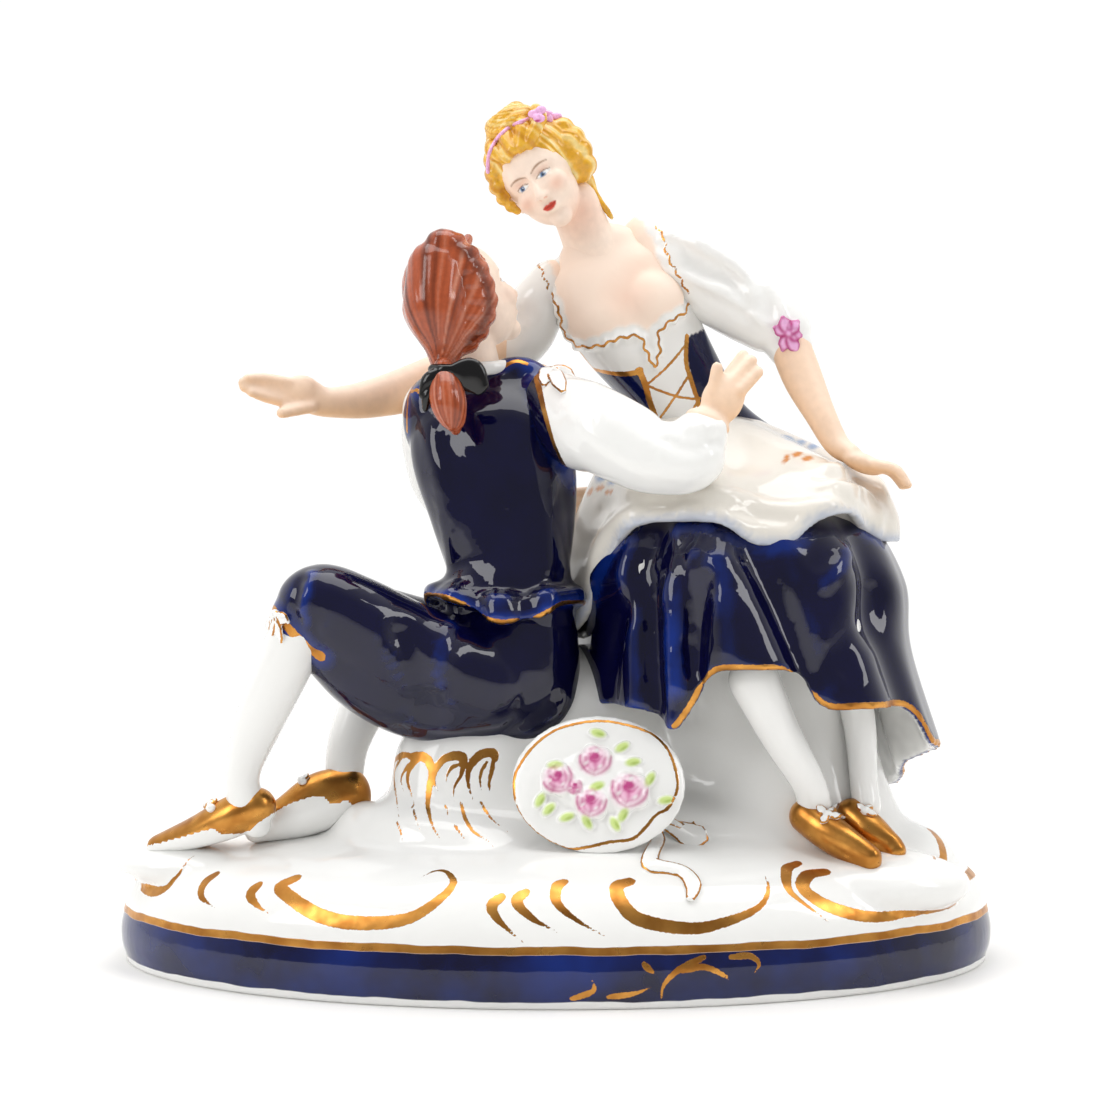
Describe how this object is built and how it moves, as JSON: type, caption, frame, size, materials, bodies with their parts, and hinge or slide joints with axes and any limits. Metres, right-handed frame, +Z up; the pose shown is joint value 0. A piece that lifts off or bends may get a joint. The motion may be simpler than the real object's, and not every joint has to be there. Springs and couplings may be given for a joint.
{
  "type": "courting couple figurine",
  "caption": "Glazed porcelain group on an oval base: a seated man seen from behind looks up at a woman in a full skirt, with a hat by the rock.",
  "frame": {"origin": "middle of the oval base's flat underside", "axes": "+Z up; +X along the oval's length, towards the woman's skirt; -Y towards the front, from which the man is seen from behind"},
  "size_m": [0.2347, 0.148, 0.2327],
  "materials": {
    "glazed_porcelain": "gloss glaze over white porcelain, painted in cobalt, gold and enamel colours; bare skin left matte"
  },
  "bodies": {
    "root": {"couple_group": "glazed_porcelain"}
  },
  "joints": []
}
